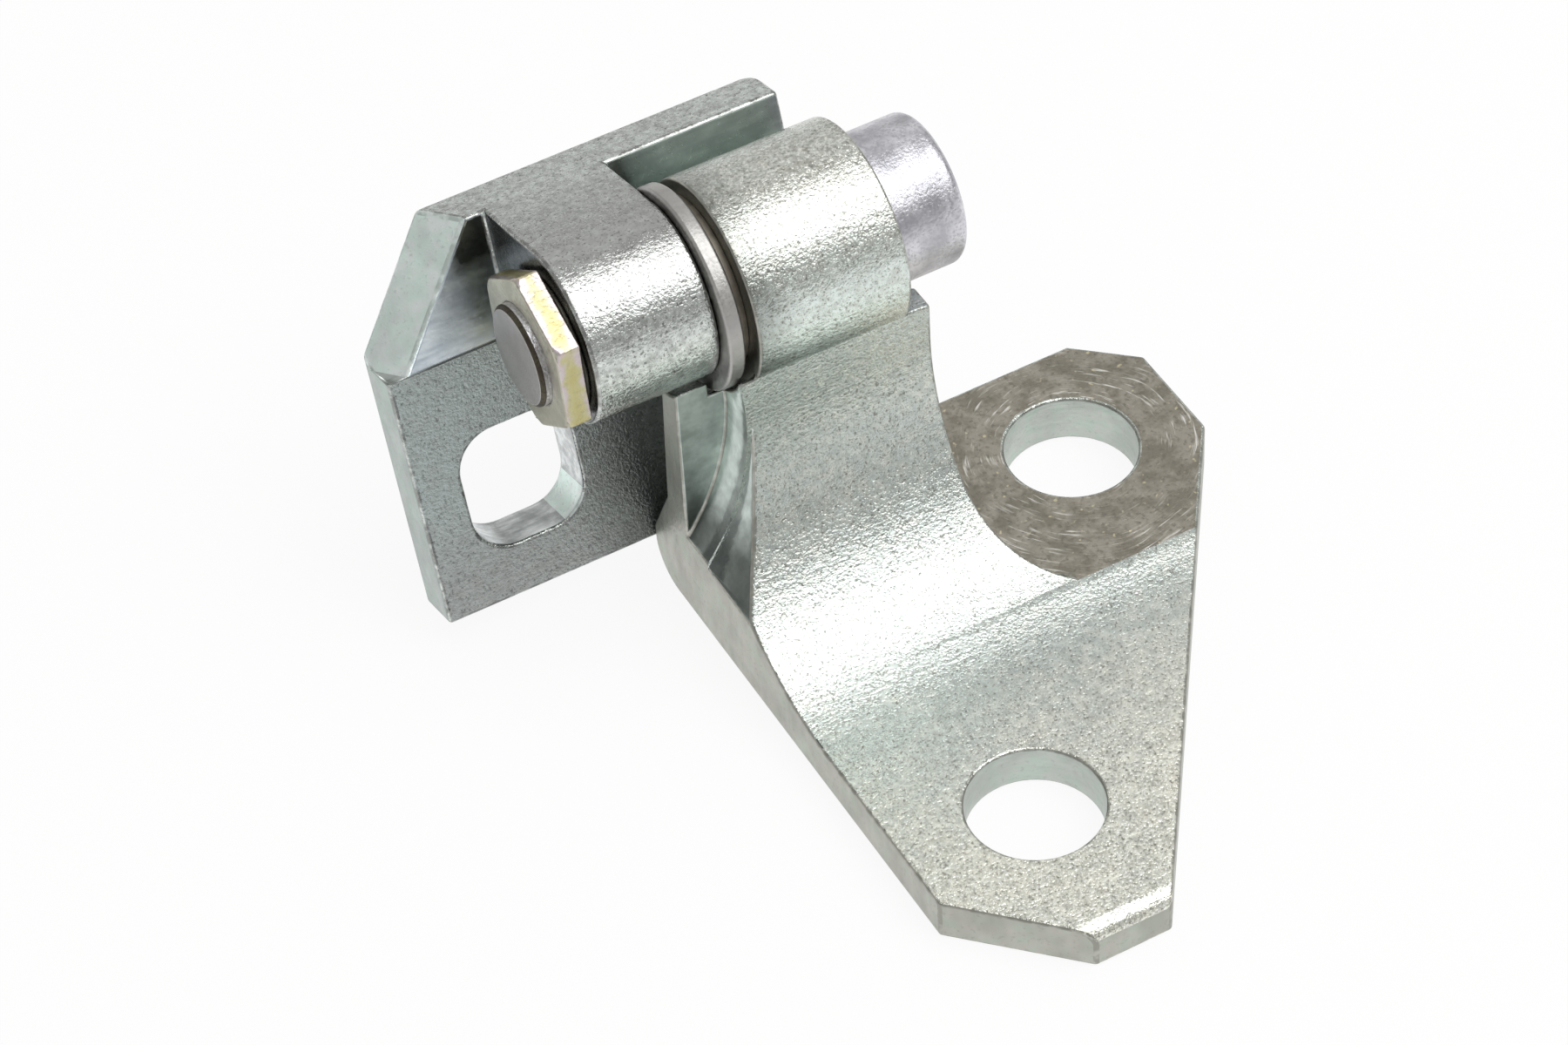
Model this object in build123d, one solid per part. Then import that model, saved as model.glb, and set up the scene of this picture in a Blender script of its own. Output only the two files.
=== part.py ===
from build123d import *
import os
from math import sqrt

os.makedirs("parts", exist_ok=True)

# Car door hinge, millimetres. A pillar leaf sawn from a rolled steel profile carries a
# flanged bush; a headed pin runs in the bush and is drawn tight against the door leaf by
# a thin nut. X lies along the pin, Z is square to the pillar face, and the origin is on
# that face midway between the two bolt holes.

# Pillar leaf: bolt holes and outline of the base plate, seen square to the pillar face
bolt_hole_d = 13.0
bolt_pitch_x = 25.8
bolt_pitch_y = 36.0
base_left = 26.3
base_right = 25.4
base_near = 33.8
near_corner = 10.2
slant_start_x = 8.2
slant_end_y = 13.7
far_corner_x = 5.7
far_corner_y = 5.1

# Pillar leaf: rolled section, seen along the pin
base_t = 4.5
near_round = 1.8
heel_back = 30.0
heel_round = 4.2
heel_flat = 1.4
heel_slope_y = 3.4
heel_slope_h = 6.9
web_front_y = 18.8
web_t = 7.0
bend_r = 22.3

# Pin axis and the pillar knuckle round it
pin_y = 28.3
pin_z = 36.0
pillar_knuckle_y = 28.05
pillar_knuckle_z = 35.7
pillar_knuckle_r = 10.3
pillar_knuckle_x = -4.0
pillar_knuckle_w = 15.8

# Pillar leaf: machined cuts
spotface_d = 29.0
spotface_y = 14.8
spotface_z = 5.4
bite_r = 27.0
bite_depth = 5.1
bite_z = 26.0
bite_step = 0.5
fin_front_y = 22.8
bore_chamfer = 0.4

# Pin, bush, washer and nut
pin_d = 12.0
run_clearance = 0.04
bush_wall = 1.0
bush_recess = 0.3
flange_d = 17.0
flange_t = 1.0
end_play = 0.1
stud_d = 10.0
stud_clearance = 0.1
stud_out = 1.0
stud_chamfer = 0.35
head_d = 15.0
head_t = 7.9
head_round = 1.0
washer_d = 20.0
washer_t = 1.7
washer_edge = 0.25
nut_flats = 14.4
nut_turn = 7.9
nut_t = 2.5
nut_crown = 0.5
collar_d = 13.6
collar_t = 0.5

# Door leaf, measured from the pin axis with the plate upright
door_tilt = 16.6
door_knuckle_r = 8.7
door_knuckle_w = 12.5
door_knuckle_set_back = 0.35
door_knuckle_rise = 0.35
neck_fillet = 1.5
plate_front = 11.05
plate_t = 5.5
plate_w = 43.8
plate_inset = 0.4
plate_drop = 30.5
plate_round = 1.6
slot_w = 11.6
slot_h = 12.6
slot_corner = 4.0
slot_pitch = 22.8
slot_drop = 18.7
mill_depth = 0.3
mill_drop = 4.0
corner_run = 8.3
corner_fall = 11.9
corner_bevel = 3.0

# Free room left round the turning pieces
swing_gap = 0.3
head_gap = 0.7

# Length added to a cutter so that it passes right through
through = 5.0


def along_x(sketch, x_from, x_to):
    """Solid of a section drawn in Y and Z, running between two places on X."""
    return Pos(x_from, 0, 0) * extrude(Plane.YZ * sketch, amount=x_to - x_from)


def rod(diameter, x_from, x_to):
    """Round bar about X."""
    return along_x(Circle(diameter / 2), x_from, x_to)


def on_pin(solid):
    """Move a piece made about X onto the pin axis."""
    return Pos(0, pin_y, pin_z) * solid


# Stations along the pin, from the head to the end of the stud
head_x = pillar_knuckle_x + end_play
pillar_end_x = pillar_knuckle_x - pillar_knuckle_w
flange_x = pillar_end_x - flange_t
washer_x = flange_x - end_play
door_x = washer_x - washer_t
door_end_x = door_x - door_knuckle_w
nut_x = door_end_x - collar_t
nut_end_x = nut_x - nut_t
stud_end_x = nut_end_x - stud_out

# Pillar leaf section: flat base with a rolled-over near edge, heel with a rounded lower
# corner, upright web and the large inside bend between them
web_back_y = web_front_y + web_t
bend_y = web_front_y - bend_r
bend_z = base_t + bend_r
web_top_z = pillar_knuckle_z - sqrt(pillar_knuckle_r**2 - (pillar_knuckle_y - web_front_y) ** 2)
heel_top_z = heel_round + heel_flat
slope_y = heel_back - heel_slope_y
slope_z = heel_top_z + heel_slope_h
section_line = (
    Line((-base_near, base_t - near_round), (-base_near, 0))
    + Line((-base_near, 0), (heel_back - heel_round, 0))
    + CenterArc((heel_back - heel_round, heel_round), heel_round, -90, 90)
    + Line((heel_back, heel_round), (heel_back, heel_top_z))
    + Line((heel_back, heel_top_z), (slope_y, slope_z))
    + Line((slope_y, slope_z), (web_back_y, bend_z))
    + Line((web_back_y, bend_z), (web_back_y, web_top_z))
    + Line((web_back_y, web_top_z), (web_front_y, web_top_z))
    + Line((web_front_y, web_top_z), (web_front_y, bend_z))
    + CenterArc((bend_y, bend_z), bend_r, 0, -90)
    + Line((bend_y, base_t), (near_round - base_near, base_t))
    + CenterArc((near_round - base_near, base_t - near_round), near_round, 90, 90)
)
pillar = along_x(make_face(section_line), -base_left, base_right)

# Outline sawn through the base: left and right edges, slant along the holes, cut corners
far_y = heel_back + through
outline = Polyline(
    (-base_left - through, far_y),
    (-base_left - through, -base_near + near_corner + through),
    (-base_left + near_corner + through, -base_near - through),
    (-slant_start_x, -base_near - through),
    (-slant_start_x, -base_near),
    (base_right, slant_end_y),
    (base_right, heel_back - far_corner_y),
    (base_right - far_corner_x, heel_back),
    (base_right - far_corner_x, far_y),
    close=True,
)
pillar &= extrude(make_face(outline), amount=web_top_z + through)
knuckle_bar = rod(2 * pillar_knuckle_r, pillar_end_x, pillar_knuckle_x)
pillar += Pos(0, pillar_knuckle_y, pillar_knuckle_z) * knuckle_bar

# Spotface round the far hole, milled in from the back and deep enough to take away the right
# half of the web
hole_x = bolt_pitch_x / 2
hole_y = bolt_pitch_y / 2
spotface_end = Pos(hole_x, spotface_y) * Circle(spotface_d / 2)
spotface_run = Pos(hole_x, spotface_y) * Rectangle(
    spotface_d, far_y - spotface_y, align=(Align.CENTER, Align.MIN)
)
pillar -= Pos(0, 0, spotface_z) * extrude(spotface_end + spotface_run, amount=web_top_z)
for side in (-1, 1):
    pillar -= Pos(side * hole_x, side * hole_y, 0) * Cylinder(bolt_hole_d / 2, 4 * spotface_z)

# Bite milled into the left side of the web from the front, leaving a thin fin behind; the
# last pass is a shade wider and stops at the face of the web
bite_x = -base_left + bite_depth - bite_r
bite_axis = Plane(origin=(bite_x, fin_front_y, bite_z), z_dir=(0, -1, 0))
pillar -= extrude(bite_axis * Circle(bite_r), amount=fin_front_y + base_near)
pass_axis = Plane(origin=(bite_x, web_front_y, bite_z), z_dir=(0, -1, 0))
pillar -= extrude(pass_axis * Circle(bite_r + bite_step), amount=web_front_y + base_near)

# Room for the turning pieces: pin head, washer and door knuckle
head_room_d = head_d + 2 * head_gap
washer_room_d = washer_d + 2 * swing_gap
door_room_d = 2 * (door_knuckle_r + swing_gap)
pillar -= on_pin(rod(head_room_d, pillar_knuckle_x, base_right))
pillar -= on_pin(rod(washer_room_d, door_x - swing_gap, pillar_end_x))
pillar -= on_pin(rod(door_room_d, -base_left - through, door_x - swing_gap))

# Bore for the bush, countersunk at the head end
bush_d = pin_d + 2 * (run_clearance + bush_wall)
pillar -= on_pin(rod(bush_d, pillar_end_x - through, pillar_knuckle_x + through))
countersink = Plane(origin=(pillar_knuckle_x, 0, 0), z_dir=(-1, 0, 0)) * Pos(0, 0, bore_chamfer / 2)
pillar -= on_pin(countersink * Cone(bush_d / 2 + bore_chamfer, bush_d / 2, bore_chamfer))

# Flanged bush pressed into the pillar knuckle
bush = rod(flange_d, flange_x, pillar_end_x)
bush += rod(bush_d, pillar_end_x, pillar_knuckle_x - bush_recess)
bush -= rod(pin_d + 2 * run_clearance, flange_x - through, pillar_knuckle_x + through)
bush = on_pin(bush)

# Hinge pin: rounded head, running shank, and a thinner stud that takes the nut
head = rod(head_d, head_x, head_x + head_t)
head = fillet(head.edges().group_by(Axis.X)[-1], head_round)
stud = rod(stud_d, stud_end_x, washer_x)
stud = chamfer(stud.edges().group_by(Axis.X)[0], stud_chamfer)
pin = on_pin(head + rod(pin_d, washer_x, head_x) + stud)

# Thrust washer held between the shoulder of the pin and the door knuckle
stud_hole_d = stud_d + 2 * stud_clearance
washer = rod(washer_d, door_x, washer_x)
washer = chamfer(washer.edges(), washer_edge)
washer -= rod(stud_hole_d, door_x - through, washer_x + through)
washer = on_pin(washer)

# Thin nut: hexagon with a corner nearly upward, crowned outer face, round collar to the
# knuckle
hexagon = RegularPolygon(nut_flats / 2, 6, major_radius=False, rotation=30)
nut = along_x(hexagon, nut_end_x, nut_x)
corner_r = nut_flats / sqrt(3)
crown = Plane(origin=(nut_end_x, 0, 0), z_dir=(1, 0, 0)) * extrude(
    Circle(corner_r - nut_crown), amount=nut_t, taper=-45
)
nut &= crown
nut += rod(collar_d, nut_x, door_end_x)
nut -= rod(stud_d, nut_end_x - through, door_end_x + through)
nut = on_pin(Rot(-nut_turn, 0, 0) * nut)

# Door leaf section: plate and knuckle of one rolled profile, flush along the top, with a
# small fillet where the underside of the knuckle runs into the plate
plate_back = plate_front + plate_t
plate_mid = plate_front + plate_t / 2
plate_top = door_knuckle_rise + door_knuckle_r
fillet_y = plate_front - neck_fillet
fillet_reach = door_knuckle_r + neck_fillet
fillet_z = door_knuckle_rise - sqrt(fillet_reach**2 - (fillet_y - door_knuckle_set_back) ** 2)
neck_line = Polyline(
    (door_knuckle_set_back, door_knuckle_rise),
    (door_knuckle_set_back, plate_top),
    (plate_mid, plate_top),
    (plate_mid, fillet_z),
    (fillet_y, fillet_z),
    close=True,
)
neck = make_face(neck_line) - Pos(fillet_y, fillet_z) * Circle(neck_fillet)
knuckle = Pos(door_knuckle_set_back, door_knuckle_rise) * Circle(door_knuckle_r)
door = along_x(neck + knuckle, door_end_x, door_x)

plate_x = pillar_knuckle_x - plate_inset
plate_end_x = plate_x - plate_w
plate_line = Polyline(
    (plate_front, -plate_drop),
    (plate_back, -plate_drop),
    (plate_back, plate_top),
    (plate_front, plate_top),
    close=True,
)
plate = along_x(make_face(plate_line), plate_end_x, plate_x)
right_back_edge = plate.edges().filter_by(Axis.Z).group_by(Axis.X)[-1].sort_by(Axis.Y)[-1]
door += fillet(right_back_edge, plate_round)

# Knuckle milled away on both sides, a shade below the rolled face of the plate
mill_line = Polyline(
    (plate_front - through, -mill_drop),
    (plate_front + mill_depth, -mill_drop),
    (plate_front + mill_depth, plate_top + through),
    (plate_front - through, plate_top + through),
    close=True,
)
mill = make_face(mill_line)
door -= along_x(mill, plate_end_x - through, door_end_x)
door -= along_x(mill, door_x, plate_x + through)

# Two slots that let the door be set in both directions
slot_x = (plate_x + plate_end_x) / 2
slot_sketch = Plane.XZ * RectangleRounded(slot_w, slot_h, slot_corner)
for side in (-1, 1):
    slot = extrude(slot_sketch, amount=2 * plate_back, both=True)
    door -= Pos(slot_x + side * slot_pitch / 2, 0, -slot_drop) * slot

# Upper left corner cut off down to the edge of the milled face, on a bevel that leans across
# the thickness of the plate
lean = corner_bevel / plate_t


def corner_section(y):
    """Corner to be taken off, at one depth through the plate."""
    shift = lean * (plate_back - y)
    slope = corner_fall / corner_run
    low_x = plate_end_x + shift + corner_run - (plate_top + mill_drop) / slope
    high = (plate_end_x + corner_run + through + shift, plate_top + slope * through)
    far_x = plate_end_x - corner_run
    side = Polyline((low_x, -mill_drop), high, (far_x, high[1]), (far_x, -mill_drop), close=True)
    return Pos(0, y, 0) * (Plane(origin=(0, 0, 0), x_dir=(1, 0, 0), z_dir=(0, -1, 0)) * make_face(side))


door -= loft([corner_section(plate_front), corner_section(plate_back + through)])

door -= rod(stud_hole_d, door_end_x - through, door_x + through)
door = on_pin(Rot(-door_tilt, 0, 0) * door)

export_step(pillar, "parts/pillar_leaf.step")
export_step(bush, "parts/pivot_bush.step")
export_step(pin, "parts/hinge_pin.step")
export_step(washer, "parts/thrust_washer.step")
export_step(nut, "parts/hex_nut.step")
export_step(door, "parts/door_leaf.step")
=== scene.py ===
from math import radians

import bmesh
import bpy
from mathutils import Euler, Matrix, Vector


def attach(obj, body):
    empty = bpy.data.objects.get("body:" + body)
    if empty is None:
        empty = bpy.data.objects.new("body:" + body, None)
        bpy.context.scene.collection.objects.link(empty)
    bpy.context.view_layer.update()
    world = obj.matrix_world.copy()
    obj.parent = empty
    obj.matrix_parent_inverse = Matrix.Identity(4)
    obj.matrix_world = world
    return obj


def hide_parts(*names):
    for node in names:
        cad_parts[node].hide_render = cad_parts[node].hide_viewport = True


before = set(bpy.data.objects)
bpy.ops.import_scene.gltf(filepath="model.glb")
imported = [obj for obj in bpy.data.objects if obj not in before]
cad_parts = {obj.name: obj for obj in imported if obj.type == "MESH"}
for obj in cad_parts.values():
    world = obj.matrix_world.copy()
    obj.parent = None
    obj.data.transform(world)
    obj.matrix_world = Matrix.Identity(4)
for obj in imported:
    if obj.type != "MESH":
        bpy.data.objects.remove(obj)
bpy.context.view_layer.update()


# Pillar leaf: one length of rolled steel section with the base plate, the bend, the web and
# the knuckle in it, sawn to outline, spotfaced and bitten into at the side, then zinc plated.
# It is bolted to the door pillar through the two holes in its base.
PILLAR_EDGE = 0.00030
BASE_TOP = 0.0045
SPOTFACE_Z = 0.0054
FAR_HOLE = Vector((0.0129, 0.018, 0.0))
HOLE_R = 0.0065
HEEL_Y = 0.0295
FIN_FRONT_Y = 0.0228
WEB_FRONT_Y = 0.0188
BITE_LEFT_X = -0.0262
BITE_RIGHT_X = -0.0200
CREASE_Z = 0.0312
FACE_TOL = 0.00012

# How far a face's normal lies along an axis, from edge on to level with it.
EDGE_ON, LEANING, SIDEWAYS, FACING, LEVEL = 0.1, 0.3, 0.5, 0.9, 0.99

MERGE_DISTANCE = 2e-6
FLAT_ANGLE = radians(0.4)
SHARP_ANGLE = radians(24)
SHADED_ANGLE = radians(32)
EDGE_STEPS = 3


def eased_copy(node, piece_name, edge_width, left_sharp=None):
    """Merged copy of a CAD node with its sharp edges eased, but for those that left_sharp
    picks; the eased faces are marked worn."""
    bm = bmesh.new()
    bm.from_mesh(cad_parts[node].data)
    worn = bm.faces.layers.float.new("worn")
    bmesh.ops.remove_doubles(bm, verts=bm.verts, dist=MERGE_DISTANCE)
    bmesh.ops.dissolve_limit(bm, angle_limit=FLAT_ANGLE, verts=bm.verts, edges=bm.edges)
    sharp = [
        e for e in bm.edges if len(e.link_faces) == 2 and e.calc_face_angle() > SHARP_ANGLE
    ]
    if left_sharp:
        sharp = [e for e in sharp if not left_sharp(e)]
    eased = bmesh.ops.bevel(
        bm, geom=sharp, offset=edge_width, offset_type="OFFSET", segments=EDGE_STEPS,
        profile=0.5, affect="EDGES", clamp_overlap=False,
    )
    for face in eased["faces"]:
        face[worn] = 1.0
    bmesh.ops.remove_doubles(bm, verts=bm.verts, dist=MERGE_DISTANCE)
    for face in bm.faces:
        face.smooth = True
    mesh = bpy.data.meshes.new(piece_name)
    bm.to_mesh(mesh)
    bm.free()
    mesh.set_sharp_from_angle(angle=SHADED_ANGLE)
    piece = bpy.data.objects.new(piece_name, mesh)
    bpy.context.scene.collection.objects.link(piece)
    even = piece.modifiers.new("even_shading", "WEIGHTED_NORMAL")
    even.keep_sharp = True
    return piece


class Finish:
    """A metal finish being made: its node tree, its shader and the object coordinates.
    Noise scales are in lumps per metre."""

    # Painted shade: the dark tone mixed in toward inside corners.
    PAINTED_SHADE_TONE = (0.05, 0.055, 0.05)

    def __init__(self, name):
        self.material = bpy.data.materials.new(name)
        self.material.use_nodes = True
        self.nodes = self.material.node_tree.nodes
        self.links = self.material.node_tree.links
        self.shader = self.nodes["Principled BSDF"]
        self.shader.inputs["Metallic"].default_value = 1.0
        self.coords = self.nodes.new("ShaderNodeTexCoord").outputs["Object"]

    def add(self, kind, **settings):
        node = self.nodes.new(kind)
        for key, value in settings.items():
            setattr(node, key, value)
        return node

    def feed(self, value, socket):
        if isinstance(value, bpy.types.NodeSocket):
            self.links.new(value, socket)
        else:
            socket.default_value = value

    def place(self, stretch=(1, 1, 1), centre=(0, 0, 0)):
        """Object coordinates moved to a centre and stretched, for grain that runs one way."""
        node = self.add("ShaderNodeMapping")
        self.links.new(self.coords, node.inputs["Vector"])
        node.inputs["Location"].default_value = [-c * s for c, s in zip(centre, stretch)]
        node.inputs["Scale"].default_value = stretch
        return node.outputs["Vector"]

    def part(self, vector, axis):
        node = self.add("ShaderNodeSeparateXYZ")
        self.links.new(vector, node.inputs["Vector"])
        return node.outputs[axis]

    def noise(self, scale, detail=2.0, rough=0.5, vector=None):
        node = self.add("ShaderNodeTexNoise")
        self.feed(vector or self.coords, node.inputs["Vector"])
        node.inputs["Scale"].default_value = scale
        node.inputs["Detail"].default_value = detail
        node.inputs["Roughness"].default_value = rough
        return node.outputs["Fac"]

    def span(self, value, low, high, to_low=0.0, to_high=1.0):
        """Stretch a value from one range to another, held at both ends."""
        node = self.add("ShaderNodeMapRange", clamp=True)
        self.feed(value, node.inputs["Value"])
        node.inputs["From Min"].default_value = low
        node.inputs["From Max"].default_value = high
        node.inputs["To Min"].default_value = to_low
        node.inputs["To Max"].default_value = to_high
        return node.outputs["Result"]

    def math(self, operation, a, b=0.0):
        node = self.add("ShaderNodeMath", operation=operation)
        self.feed(a, node.inputs[0])
        self.feed(b, node.inputs[1])
        return node.outputs["Value"]

    def times(self, a, b):
        return self.math("MULTIPLY", a, b)

    def summed(self, *parts):
        """Sum of values, each with its weight."""
        total = None
        for value, weight in parts:
            weighted = self.times(value, weight)
            total = weighted if total is None else self.math("ADD", total, weighted)
        return total

    def mix(self, share, a, b):
        """Mix two colours, each a tone of three numbers or a socket."""
        node = self.add("ShaderNodeMix", data_type="RGBA")
        self.feed(share, node.inputs["Factor"])
        for end, colour in (("A", a), ("B", b)):
            self.feed((*colour, 1) if isinstance(colour, tuple) else colour, node.inputs[end])
        return node.outputs["Result"]

    def stain(self, colour, tone, share, value, start, full):
        """Mix a tone into a colour, up to a share, as a value runs from start to full."""
        return self.mix(self.span(value, start, full, to_high=share), colour, tone)

    def edged(self, colour, dark, strength):
        """Darken the eased edges in broken dashes, as plate and dirt do."""
        worn = self.add("ShaderNodeAttribute", attribute_name="worn").outputs["Fac"]
        dashes = self.span(self.noise(700, rough=0.6), 0.42, 0.58)
        return self.mix(self.times(self.times(worn, dashes), strength), colour, dark)

    def painted_shade(self, colour, shades, strength):
        """Paint shade toward inside corners, where all shades hold together: a dark tone stands
        in for the shade there.
        """
        if not shades:
            return colour
        deep = strength
        for axis, start, full in shades:
            wander = self.times(self.noise(320, detail=3.0, rough=0.6), 0.003)
            along = self.math("ADD", self.part(self.coords, axis), wander)
            deep = self.times(self.span(along, start, full), deep)
        return self.mix(deep, colour, self.PAINTED_SHADE_TONE)

    def relief(self, height, depth):
        node = self.add("ShaderNodeBump")
        node.inputs["Strength"].default_value = 1.0
        node.inputs["Distance"].default_value = depth
        self.links.new(height, node.inputs["Height"])
        return node.outputs["Normal"]

    def close(self, colour, rough, normal):
        self.feed(colour, self.shader.inputs["Base Color"])
        self.feed(rough, self.shader.inputs["Roughness"])
        self.links.new(normal, self.shader.inputs["Normal"])
        return self.material


def toward(axis, start, full):
    """A gradient along an axis that sets in at one place and is full at another: for painted
    light and wear, or for painted shade.
    """
    return axis, start, full


def rolled_zinc(
    name, cool, warm, pit, pits, dents, painted_glints, grain_depth, rough, light_and_wear, shades=(), deep=0.0
):
    """Zinc plate over a rolled skin: grainy, pitted, streaked along the rolling direction. Toward
    the places given along axes it turns from the cool tone to the warm one as painted light and
    shade, with more dents and with painted glints there; toward its inside corners it takes
    painted shade.
    Pits, dents and glints say how strong each shows."""
    painted_glint_white = (1.0, 1.0, 0.95)
    rolled_along_x = (300, 2600, 2600)
    finish = Finish(name)
    grain = finish.noise(3300, rough=0.6)
    peen = finish.noise(1500, rough=0.6)
    mottle = finish.noise(480, detail=3.0, rough=0.6)
    streaks = finish.noise(1.0, vector=finish.place(rolled_along_x))
    cloud = finish.noise(75)
    hue = finish.noise(1000, detail=1.0)
    # Mask of painted light and shade and of wear: the cool tone turns warm along it, and dents
    # and painted glints grow with it.
    light_and_wear_mask = None
    for axis, start, full in light_and_wear:
        reach = finish.span(finish.part(finish.coords, axis), start, full)
        light_and_wear_mask = reach if light_and_wear_mask is None else finish.math("MAXIMUM", light_and_wear_mask, reach)
    tint = finish.summed((cloud, 0.4), (hue, 0.5), (light_and_wear_mask, 0.4))
    colour = finish.mix(finish.span(tint, 0.40, 0.95), cool, warm)
    colour = finish.stain(colour, pit, 0.12, mottle, 0.62, 0.36)
    dented = finish.span(light_and_wear_mask, 0.0, 1.0, to_low=0.6 * dents, to_high=dents)
    colour = finish.mix(finish.times(finish.span(peen, 0.60, 0.36), dented), colour, pit)
    colour = finish.stain(colour, pit, pits, grain, 0.44, 0.30)
    # Painted glints: white specks where the mask is full.
    painted_glint_mask = finish.times(finish.span(grain, 0.54, 0.64, to_high=painted_glints), light_and_wear_mask)
    colour = finish.mix(painted_glint_mask, colour, painted_glint_white)
    colour = finish.edged(finish.painted_shade(colour, shades, deep), pit, 0.7)
    height = finish.summed((grain, 1.0), (streaks, 0.45), (peen, 0.5))
    sheen = finish.span(mottle, 0.3, 0.7, to_low=rough - 0.05, to_high=rough + 0.07)
    return finish.close(colour, sheen, finish.relief(height, grain_depth))


def sawn_zinc(name, tone, dark, direction, rough=0.42):
    """Plated saw cut: fine parallel lines and a dull, even tone."""
    cut_depth = 0.00006
    finish = Finish(name)
    lines = finish.noise(1.0, detail=3.0, rough=0.6, vector=finish.place(direction))
    speckle = finish.noise(2200, rough=0.6)
    cloud = finish.noise(230, rough=0.6)
    hue = finish.noise(700, detail=1.0)
    cool = (tone[0] * 0.93, tone[1] * 1.02, tone[2] * 0.98)
    colour = finish.mix(finish.span(hue, 0.38, 0.62), tone, cool)
    colour = finish.stain(colour, dark, 0.40, cloud, 0.60, 0.36)
    colour = finish.stain(colour, dark, 0.5, speckle, 0.42, 0.28)
    colour = finish.edged(colour, dark, 0.9)
    height = finish.summed((lines, 0.7), (speckle, 0.6))
    sheen = finish.span(lines, 0.3, 0.7, to_low=rough - 0.05, to_high=rough + 0.08)
    return finish.close(colour, sheen, finish.relief(height, cut_depth))


def swirl_zinc(name, centre):
    """Face cut by a turning tool: arcs of fine scratches about the hole, stained brown, with
    yellow flecks painted in as glints.
    """
    brown, tan, pitted = (0.27, 0.25, 0.205), (0.41, 0.38, 0.325), (0.20, 0.19, 0.16)
    scratch, painted_glint_gold, edge_dark = (0.92, 0.91, 0.86), (0.86, 0.78, 0.52), (0.16, 0.16, 0.14)
    arcs_per_metre, arcs_per_radian = 3200.0, 3.0
    cut_depth = 0.00006
    finish = Finish(name)
    about = finish.place((1, 1, 0), centre)
    radius = finish.add("ShaderNodeVectorMath", operation="LENGTH")
    finish.links.new(about, radius.inputs[0])
    turn = finish.math("ARCTAN2", finish.part(about, "Y"), finish.part(about, "X"))
    wander = finish.times(finish.noise(60), 0.004)
    outward = finish.math("ADD", radius.outputs["Value"], wander)
    polar = finish.add("ShaderNodeCombineXYZ")
    finish.links.new(finish.times(outward, arcs_per_metre), polar.inputs["X"])
    finish.links.new(finish.times(turn, arcs_per_radian), polar.inputs["Y"])
    arcs = finish.noise(1.0, rough=0.6, vector=polar.outputs["Vector"])
    stains = finish.noise(420, detail=3.0, rough=0.65)
    speckle = finish.noise(1900, rough=0.6)
    patches = finish.noise(150)
    gold_glint_flecks = finish.noise(1300, detail=1.0)
    colour = finish.mix(finish.span(stains, 0.40, 0.60), brown, tan)
    colour = finish.stain(colour, pitted, 0.7, speckle, 0.48, 0.32)
    bright_arcs = finish.span(arcs, 0.57, 0.70, to_high=0.9)
    in_patches = finish.span(patches, 0.42, 0.58)
    colour = finish.mix(finish.times(bright_arcs, in_patches), colour, scratch)
    # Painted glints: yellow flecks.
    colour = finish.stain(colour, painted_glint_gold, 0.6, gold_glint_flecks, 0.68, 0.76)
    colour = finish.edged(colour, edge_dark, 0.6)
    height = finish.summed((arcs, 1.2), (speckle, 0.8))
    sheen = finish.span(arcs, 0.3, 0.7, to_low=0.40, to_high=0.30)
    return finish.close(colour, sheen, finish.relief(height, cut_depth))


def milled_zinc(name, light, dark, rough, lined=1.0, shades=(), deep=0.0):
    """Face-milled and plated: smooth, with tool lines as strong as lined says, and painted shade
    toward its inside corners."""
    milled_along_x = (240, 1300, 1300)
    cut_depth = 0.00003
    finish = Finish(name)
    lines = finish.noise(1.0, vector=finish.place(milled_along_x))
    fine = finish.noise(2400)
    cloud = finish.noise(420, detail=3.0, rough=0.6)
    colour = finish.mix(finish.span(lines, 0.35, 0.65, to_high=lined), light, dark)
    colour = finish.stain(colour, dark, 0.7, cloud, 0.60, 0.36)
    colour = finish.edged(finish.painted_shade(colour, shades, deep), dark, 0.4)
    height = finish.summed((lines, 0.6), (fine, 0.3))
    sheen = finish.span(fine, 0.3, 0.7, to_low=rough - 0.04, to_high=rough + 0.05)
    return finish.close(colour, sheen, finish.relief(height, cut_depth))


def give(piece, finishes, choose):
    """Put the finishes on a piece and let each face choose one, by the name it has here, from
    the face's centre and normal."""
    names = list(finishes)
    for finish in finishes.values():
        piece.data.materials.append(finish)
    for face in piece.data.polygons:
        face.material_index = names.index(choose(face.center, face.normal))


def pillar_face(centre, normal):
    to_hole = min((centre.xy - FAR_HOLE.xy).length, (centre.xy + FAR_HOLE.xy).length)
    upright = abs(normal.z) < LEANING
    in_base = upright and centre.z < SPOTFACE_Z
    if normal.z > LEVEL and abs(centre.z - SPOTFACE_Z) < FACE_TOL:
        return "spotface"
    if in_base and to_hole < HOLE_R + FACE_TOL:
        return "hole"
    beside_web = BITE_LEFT_X < centre.x < BITE_RIGHT_X and centre.z > BASE_TOP
    fin_front = normal.y < -FACING and abs(centre.y - FIN_FRONT_Y) < FACE_TOL
    if fin_front or (beside_web and abs(normal.y) < EDGE_ON):
        return "bite"
    if abs(normal.x) > SIDEWAYS or (in_base and centre.y < HEEL_Y):
        return "saw cut"
    return "knuckle" if centre.z > CREASE_Z else "skin"


def step_in_bite(edge):
    """The narrow step that the second pass leaves in the bite keeps its crisp edges."""
    return all(
        v.co.x < BITE_RIGHT_X and abs(v.co.y - WEB_FRONT_Y) < FACE_TOL for v in edge.verts
    )


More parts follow.
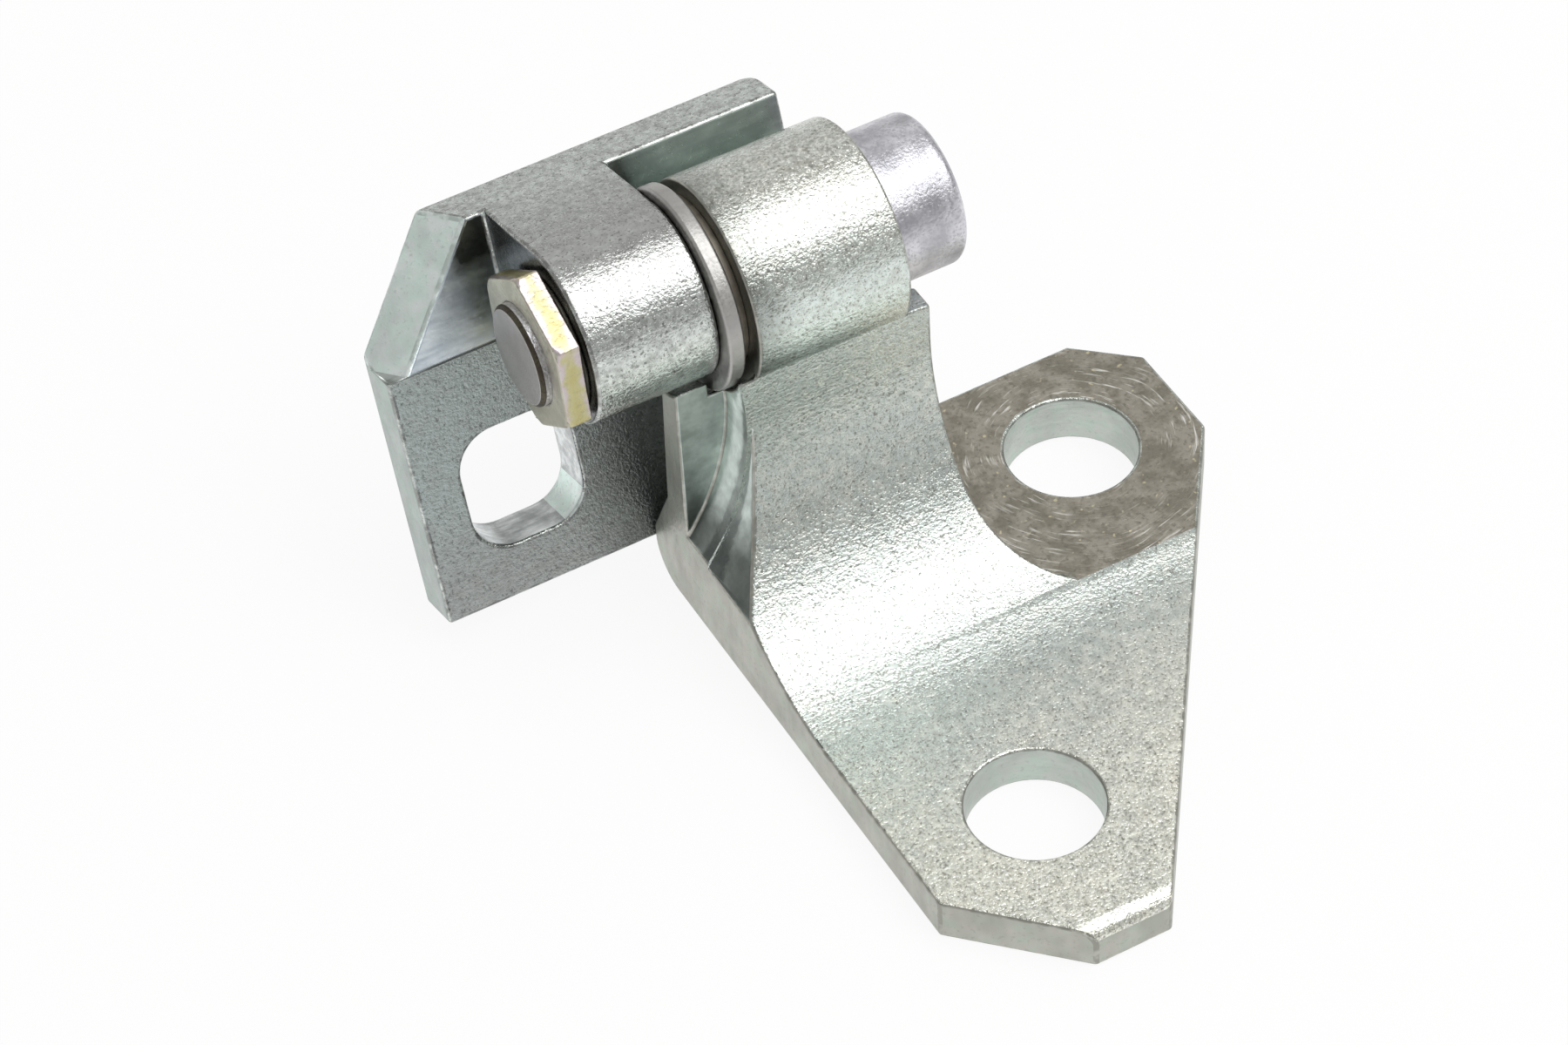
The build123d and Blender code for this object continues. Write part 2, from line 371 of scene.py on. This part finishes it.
pillar = eased_copy("pillar_leaf", "pillar_leaf_plated", PILLAR_EDGE, step_in_bite)
give(
    pillar,
    {
        # The skin turns lighter and warmer toward the near end as painted light, with more dents
        # and painted glints there.
        "skin": rolled_zinc(
            "rolled_zinc_bright",
            cool=(0.62, 0.675, 0.65), warm=(1.0, 0.985, 0.87), pit=(0.27, 0.27, 0.24),
            pits=0.95, dents=0.40, painted_glints=0.9, grain_depth=0.00009, rough=0.24,
            light_and_wear=[toward("Y", start=-0.003, full=-0.022)],
        ),
        "spotface": swirl_zinc("spotface_swirl", centre=FAR_HOLE),
        "saw cut": sawn_zinc(
            "sawn_zinc", tone=(0.525, 0.515, 0.47), dark=(0.34, 0.335, 0.30),
            direction=(900, 900, 260),
        ),
        "hole": sawn_zinc(
            "drilled_zinc", tone=(0.58, 0.61, 0.57), dark=(0.42, 0.43, 0.41),
            direction=(500, 500, 2600),
        ),
        # Painted shade: the bite turns darker toward its foot.
        "bite": milled_zinc(
            "milled_zinc_green", light=(0.65, 0.725, 0.685), dark=(0.35, 0.40, 0.375),
            rough=0.36, lined=0.15, shades=[toward("Z", start=0.0180, full=0.0140)], deep=0.76,
        ),
        # Painted light and shade: the knuckle is darker and warmer on top and pale underneath,
        # with painted glints on top and painted shade toward its washer end.
        "knuckle": rolled_zinc(
            "rolled_zinc_pale",
            cool=(0.80, 0.88, 0.845), warm=(0.63, 0.62, 0.565), pit=(0.26, 0.26, 0.23),
            pits=0.9, dents=0.48, painted_glints=0.7, grain_depth=0.00009, rough=0.19,
            light_and_wear=[toward("Z", start=0.0385, full=0.0465)],
            shades=[toward("X", start=-0.0140, full=-0.0182)], deep=0.5,
        ),
    },
    pillar_face,
)
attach(pillar, "pillar")
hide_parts("pillar_leaf")


# Bush: a thin flanged bearing of bronze, pressed into the pillar knuckle from the washer side.
# Only the rim of its flange shows, in the gap beside the washer, in a dark tone that paints the
# shade of that gap.
BUSH_EDGE = 0.0001
# Both bush tones are dark as painted shade of the gap beside the washer.
BUSH_SHADE_DARK = (0.17, 0.155, 0.13)
BUSH_SHADE_LIGHT = (0.28, 0.25, 0.21)
BUSH_MOTTLE_DEPTH = 0.00003

bush = eased_copy("pivot_bush", "pivot_bush_bronze", BUSH_EDGE)
bronze = Finish("bronze_in_painted_shade")
bush_mottle = bronze.noise(800, detail=3.0, rough=0.6)
bronze_colour = bronze.mix(bronze.span(bush_mottle, 0.35, 0.65), BUSH_SHADE_DARK, BUSH_SHADE_LIGHT)
bronze_sheen = bronze.span(bush_mottle, 0.3, 0.7, to_low=0.45, to_high=0.6)
give(
    bush,
    {"bronze": bronze.close(bronze_colour, bronze_sheen, bronze.relief(bush_mottle, BUSH_MOTTLE_DEPTH))},
    lambda centre, normal: "bronze",
)
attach(bush, "pillar")
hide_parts("pivot_bush")


# Pin: turned steel with a round head, zinc plated to a smooth lilac grey. Its shank turns in
# the bush and its thinner end passes through washer, door knuckle and nut.
PIN_EDGE = 0.00012
STUD_END_X = -0.0391
STUD_SHOWS_X = -0.0378


def turned_zinc(name, light, dark, rough, ring_depth):
    """Plated turned or stamped steel: smooth, faint tool rings along the pin, soft blotches."""
    turned_about_x = (3000, 120, 120)
    finish = Finish(name)
    rings = finish.noise(1.0, vector=finish.place(turned_about_x))
    blotch = finish.noise(300, detail=3.0, rough=0.6)
    fine = finish.noise(3300)
    colour = finish.mix(finish.span(blotch, 0.35, 0.65), light, dark)
    colour = finish.stain(colour, dark, 0.8, fine, 0.52, 0.34)
    height = finish.summed((rings, 0.4), (fine, 0.6))
    sheen = finish.span(fine, 0.3, 0.7, to_low=rough - 0.05, to_high=rough + 0.07)
    return finish.close(colour, sheen, finish.relief(height, ring_depth))


def pin_face(centre, normal):
    if centre.x < STUD_END_X + FACE_TOL and normal.x < -FACING:
        return "stud end"
    return "thread" if centre.x < STUD_SHOWS_X else "head"


pin = eased_copy("hinge_pin", "hinge_pin_turned", PIN_EDGE)
give(
    pin,
    {
        "head": turned_zinc(
            "lilac_zinc", light=(0.79, 0.785, 0.83), dark=(0.45, 0.45, 0.485),
            rough=0.36, ring_depth=0.00011,
        ),
        "stud end": turned_zinc(
            "stud_end_zinc", light=(0.46, 0.45, 0.44), dark=(0.38, 0.37, 0.36),
            rough=0.45, ring_depth=0.00006,
        ),
        # The thread beyond the nut is near black: dark thread, and painted shade of the crescent
        # beside the stud end.
        "thread": turned_zinc(
            "stud_thread_painted_shade", light=(0.12, 0.11, 0.08), dark=(0.06, 0.05, 0.04),
            rough=0.55, ring_depth=0.00008,
        ),
    },
    pin_face,
)
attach(pin, "door")
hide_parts("hinge_pin")


# Washer: a plain stamped ring between the two knuckles, clamped with the door leaf against the
# shoulder of the pin. Its rim shows dull grey with a warm tint; its faces get a dark tone as
# painted shade of the gaps beside the knuckles.
WASHER_EDGE = 0.0001
WASHER_FLAT = 0.8

washer = eased_copy("thrust_washer", "thrust_washer_stamped", WASHER_EDGE)
give(
    washer,
    {
        "rim": turned_zinc(
            "dull_zinc", light=(0.52, 0.51, 0.49), dark=(0.42, 0.41, 0.40),
            rough=0.40, ring_depth=0.00005,
        ),
        # The washer faces get a dark tone as painted shade of the gaps beside the knuckles.
        "face": turned_zinc(
            "washer_face_shade_zinc", light=(0.38, 0.37, 0.36), dark=(0.24, 0.23, 0.22),
            rough=0.40, ring_depth=0.00005,
        ),
    },
    lambda centre, normal: "face" if abs(normal.x) > WASHER_FLAT else "rim",
)
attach(washer, "door")
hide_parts("thrust_washer")


# Door leaf: a length of P-shaped rolled section, the plate and its knuckle in one. The knuckle
# is milled away at both sides, the upper left corner cut off on a bevel and two slots cut.
# Its sizes are measured from the pin, with the leaf turned upright.
DOOR_EDGE = 0.0004
PIN_AXIS = Vector((0.0, 0.0283, 0.036))
PLATE_FRONT = 0.01105
MILLED_FRONT = 0.01135
PLATE_TOP = 0.00905
KNUCKLE_MID_X = -0.029
MILL_Z = -0.004
SLOT_Z = -0.0187
SLOT_HALF_H = 0.0063
SLOT_XS = (-0.0377, -0.0149)
SLOT_HALF_W = 0.0058
upright_door = Euler((radians(16.6), 0, 0)).to_matrix()


def door_face(centre, normal):
    place = upright_door @ (centre - PIN_AXIS)
    facing = upright_door @ normal
    if facing.y < -FACING and abs(place.y - MILLED_FRONT) < FACE_TOL:
        return "milled left" if centre.x < KNUCKLE_MID_X else "milled right"
    if facing.z > FACING and abs(place.z - MILL_Z) < FACE_TOL:
        return "mill step"
    if facing.x < -LEANING and facing.z > LEANING and place.y > PLATE_FRONT:
        return "corner cut"
    beside_slot = min(abs(centre.x - x) for x in SLOT_XS) < SLOT_HALF_W + FACE_TOL
    level_with_slot = abs(place.z - SLOT_Z) < SLOT_HALF_H + FACE_TOL
    through_plate = abs(facing.y) < SIDEWAYS
    if beside_slot and through_plate and level_with_slot:
        return "slot"
    if facing.y > FACING:
        return "plate back"
    if facing.y < -FACING and abs(place.y - PLATE_FRONT) < FACE_TOL:
        return "plate front"
    if abs(facing.x) > FACING and place.y < PLATE_FRONT:
        return "knuckle end"
    on_top = facing.z > FACING and place.z > PLATE_TOP - 2 * DOOR_EDGE
    if through_plate and place.y > PLATE_FRONT and not on_top:
        return "plate edge"
    return "knuckle"


def mill_step(edge):
    """The shallow step at the foot of the milled faces keeps its crisp edges."""
    heights = [(upright_door @ (v.co - PIN_AXIS)).z for v in edge.verts]
    return all(abs(height - MILL_Z) < FACE_TOL for height in heights)


door = eased_copy("door_leaf", "door_leaf_plated", DOOR_EDGE, mill_step)
give(
    door,
    {
        # Painted light and shade: the knuckle is dark on top and lighter down its side and toward
        # the back of the plate top.
        "knuckle": rolled_zinc(
            "rolled_zinc_knuckle",
            cool=(0.48, 0.485, 0.475), warm=(0.78, 0.825, 0.795), pit=(0.20, 0.20, 0.19),
            pits=0.9, dents=0.44, painted_glints=0.0, grain_depth=0.00007, rough=0.15,
            light_and_wear=[toward("Z", start=0.0445, full=0.0375), toward("Y", start=0.035, full=0.043)],
        ),
        # Painted shade and a painted dark reflection in the corner by the knuckle end.
        "milled left": milled_zinc(
            "milled_zinc_blue", light=(0.85, 0.93, 0.99), dark=(0.60, 0.68, 0.75), rough=0.34,
            shades=[
                toward("X", start=-0.0380, full=-0.0368),
                toward("Z", start=0.0372, full=0.0390),
            ],
            deep=0.9,
        ),
        # Painted shade: a band where the pillar web stands in front, and darker toward the right
        # beside the fin; the plate also turns darker toward its foot.
        "plate front": rolled_zinc(
            "rolled_zinc_dark",
            cool=(0.49, 0.555, 0.545), warm=(0.42, 0.43, 0.42), pit=(0.13, 0.13, 0.13),
            pits=0.65, dents=0.22, painted_glints=0.0, grain_depth=0.00012, rough=0.40,
            light_and_wear=[toward("X", start=-0.042, full=-0.027), toward("Z", start=0.016, full=0.006)],
            shades=[
                toward("X", start=-0.0325, full=-0.0250),
                toward("X", start=-0.0150, full=-0.0210),
            ],
            deep=0.50,
        ),
        "plate edge": sawn_zinc(
            "sawn_zinc_green", tone=(0.52, 0.56, 0.54), dark=(0.36, 0.39, 0.38),
            direction=(260, 900, 900),
        ),
        # The knuckle ends get a near-black tone as painted shade.
        "knuckle end": milled_zinc(
            "milled_zinc_end_shade", light=(0.20, 0.22, 0.21), dark=(0.12, 0.12, 0.12), rough=0.25,
        ),
        "milled right": milled_zinc(
            "milled_zinc_shade", light=(0.45, 0.50, 0.475), dark=(0.31, 0.345, 0.33), rough=0.30,
        ),
        # Painted shade along the step, but for its pale left end.
        "mill step": milled_zinc(
            "mill_step_dark", light=(0.64, 0.69, 0.67), dark=(0.44, 0.48, 0.46),
            rough=0.45, lined=0.5, shades=[toward("X", start=-0.0435, full=-0.0415)], deep=0.85,
        ),
        "corner cut": sawn_zinc(
            "sawn_zinc_pale", tone=(0.92, 0.985, 0.97), dark=(0.58, 0.64, 0.62),
            direction=(260, 900, 900),
        ),
        # The strong light and dark mottles of the slot walls paint their reflections.
        "slot": milled_zinc(
            "slot_zinc_painted_reflections", light=(0.80, 0.83, 0.83), dark=(0.28, 0.30, 0.30), rough=0.22, lined=0.6,
        ),
        # The plate back turns darker toward its foot.
        "plate back": rolled_zinc(
            "rolled_zinc_back",
            cool=(0.50, 0.56, 0.55), warm=(0.44, 0.455, 0.445), pit=(0.15, 0.15, 0.15),
            pits=0.65, dents=0.22, painted_glints=0.0, grain_depth=0.00012, rough=0.36,
            light_and_wear=[toward("Z", start=0.016, full=0.006)],
        ),
    },
    door_face,
)
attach(door, "door")
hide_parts("door_leaf")


# Nut: a thin hexagon nut on the end of the pin, yellow passivated zinc with a rainbow sheen on
# its flats, pale at the edges of each flat; its collar bears on the door knuckle.
NUT_EDGE = 0.0002
NUT_MID_X = -0.0368
NUT_BACK_X = -0.0356
NUT_FLAT = 0.6
NUT_GRAIN_DEPTH = 0.00008
FILM_YELLOW, FILM_STRAW = (0.57, 0.51, 0.25), (0.60, 0.56, 0.33)
FILM_ROSE, FILM_PALE = (0.66, 0.575, 0.60), (0.66, 0.65, 0.60)
FILM_PIT = (0.42, 0.39, 0.28)


def nut_face(centre, normal):
    if centre.x > NUT_BACK_X - FACE_TOL:
        return "collar"
    return "end" if normal.x < -NUT_FLAT else "flat"


nut = eased_copy("hex_nut", "hex_nut_yellow", NUT_EDGE)
film = Finish("yellow_passivated_zinc")
from_middle = film.math("ABSOLUTE", film.part(film.place(centre=(NUT_MID_X, 0, 0)), "X"))
toward_edges = film.span(from_middle, 0.0002, 0.0014, to_high=0.5)
blotches = film.span(film.noise(420, rough=0.6), 0.3, 0.7, to_high=0.5)
rainbow = film.add("ShaderNodeValToRGB")
film.links.new(film.math("ADD", toward_edges, blotches), rainbow.inputs["Fac"])
thin_film, thick_film = rainbow.color_ramp.elements
thin_film.position, thin_film.color = 0.15, (*FILM_YELLOW, 1)
thick_film.position, thick_film.color = 0.85, (*FILM_PALE, 1)
rainbow.color_ramp.elements.new(0.40).color = (*FILM_STRAW, 1)
rainbow.color_ramp.elements.new(0.60).color = (*FILM_ROSE, 1)
nut_grain = film.noise(1800)
nut_colour = film.stain(rainbow.outputs["Color"], FILM_PIT, 0.4, nut_grain, 0.46, 0.30)
nut_sheen = film.span(nut_grain, 0.3, 0.7, to_low=0.30, to_high=0.42)
give(
    nut,
    {
        "flat": film.close(nut_colour, nut_sheen, film.relief(nut_grain, NUT_GRAIN_DEPTH)),
        "end": turned_zinc(
            "beige_zinc", light=(0.62, 0.61, 0.51), dark=(0.44, 0.42, 0.34),
            rough=0.42, ring_depth=0.00006,
        ),
        "collar": turned_zinc(
            "nut_shadow_zinc", light=(0.34, 0.32, 0.27), dark=(0.20, 0.19, 0.16),
            rough=0.45, ring_depth=0.00005,
        ),
    },
    nut_face,
)
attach(nut, "door")
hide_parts("hex_nut")


# Studio: a pale floor that the hinge stands on, a soft light in front and to the right that
# draws the bright bands along the knuckles and the bend, a weak one behind, and an even pale
# surround. The floor shows almost pure white to the eye and in the metal.
FLOOR_SIZE = 6.0
FLOOR_Z = -0.0001
FLOOR_GLOW = 0.90
AIM = Vector((-0.010, 0.008, 0.020))

bpy.ops.mesh.primitive_plane_add(size=FLOOR_SIZE, location=(0, 0, FLOOR_Z))
floor = bpy.context.object
floor.name = "floor"
paper = bpy.data.materials.new("pale_paper")
paper.use_nodes = True
paper_nodes = paper.node_tree.nodes
paper_links = paper.node_tree.links
paper_shader = paper_nodes["Principled BSDF"]
paper_shader.inputs["Base Color"].default_value = (0.95, 0.95, 0.95, 1)
paper_shader.inputs["Roughness"].default_value = 0.9
white = paper_nodes.new("ShaderNodeEmission")
white.inputs["Strength"].default_value = 1.0


def paper_math(operation, first):
    """A Math node of the paper with its first input linked."""
    node = paper_nodes.new("ShaderNodeMath")
    node.operation = operation
    paper_links.new(first, node.inputs[0])
    return node


path = paper_nodes.new("ShaderNodeLightPath").outputs
seen = paper_math("MAXIMUM", path["Is Camera Ray"])
paper_links.new(path["Is Glossy Ray"], seen.inputs[1])
through = paper_math("MAXIMUM", seen.outputs["Value"])
paper_links.new(path["Is Transmission Ray"], through.inputs[1])
glow = paper_math("MULTIPLY", through.outputs["Value"])
glow.inputs[1].default_value = FLOOR_GLOW
blend = paper_nodes.new("ShaderNodeMixShader")
paper_links.new(glow.outputs["Value"], blend.inputs["Fac"])
paper_links.new(paper_shader.outputs["BSDF"], blend.inputs[1])
paper_links.new(white.outputs["Emission"], blend.inputs[2])
paper_links.new(blend.outputs["Shader"], paper_nodes["Material Output"].inputs["Surface"])
floor.data.materials.append(paper)


def soft_light(name, direction, distance, width, height, power):
    lamp = bpy.data.lights.new(name, "AREA")
    lamp.shape = "RECTANGLE"
    lamp.size = width
    lamp.size_y = height
    lamp.energy = power
    holder = bpy.data.objects.new(name, lamp)
    holder.location = AIM + Vector(direction).normalized() * distance
    holder.rotation_euler = (AIM - holder.location).to_track_quat("-Z", "Y").to_euler()
    holder.visible_camera = False
    bpy.context.scene.collection.objects.link(holder)


soft_light(
    "front_right_light", direction=(0.31, -0.292, 0.905), distance=0.8, width=0.60, height=0.84,
    power=4.05,
)
soft_light(
    "back_light", direction=(0.33, 0.72, 0.61), distance=1.0, width=0.9, height=0.8, power=0.62,
)

world = bpy.data.worlds.new("studio")
world.use_nodes = True
surround = world.node_tree.nodes["Background"]
surround.inputs["Color"].default_value = (0.50, 0.50, 0.49, 1)
surround.inputs["Strength"].default_value = 1.0
bpy.context.scene.world = world
bpy.context.scene.view_settings.view_transform = "Standard"

lens = bpy.data.cameras.new("camera")
lens.sensor_fit = "HORIZONTAL"
lens.sensor_width = 36.0
lens.lens = 116.58
lens.clip_start = 0.01
camera = bpy.data.objects.new("camera", lens)
camera.location = (-0.163884, -0.274681, 0.356340)
camera.rotation_euler = Euler((radians(43.4582), radians(2.6112), radians(-29.1737)))
bpy.context.scene.collection.objects.link(camera)
bpy.context.scene.camera = camera

bpy.context.view_layer.update()
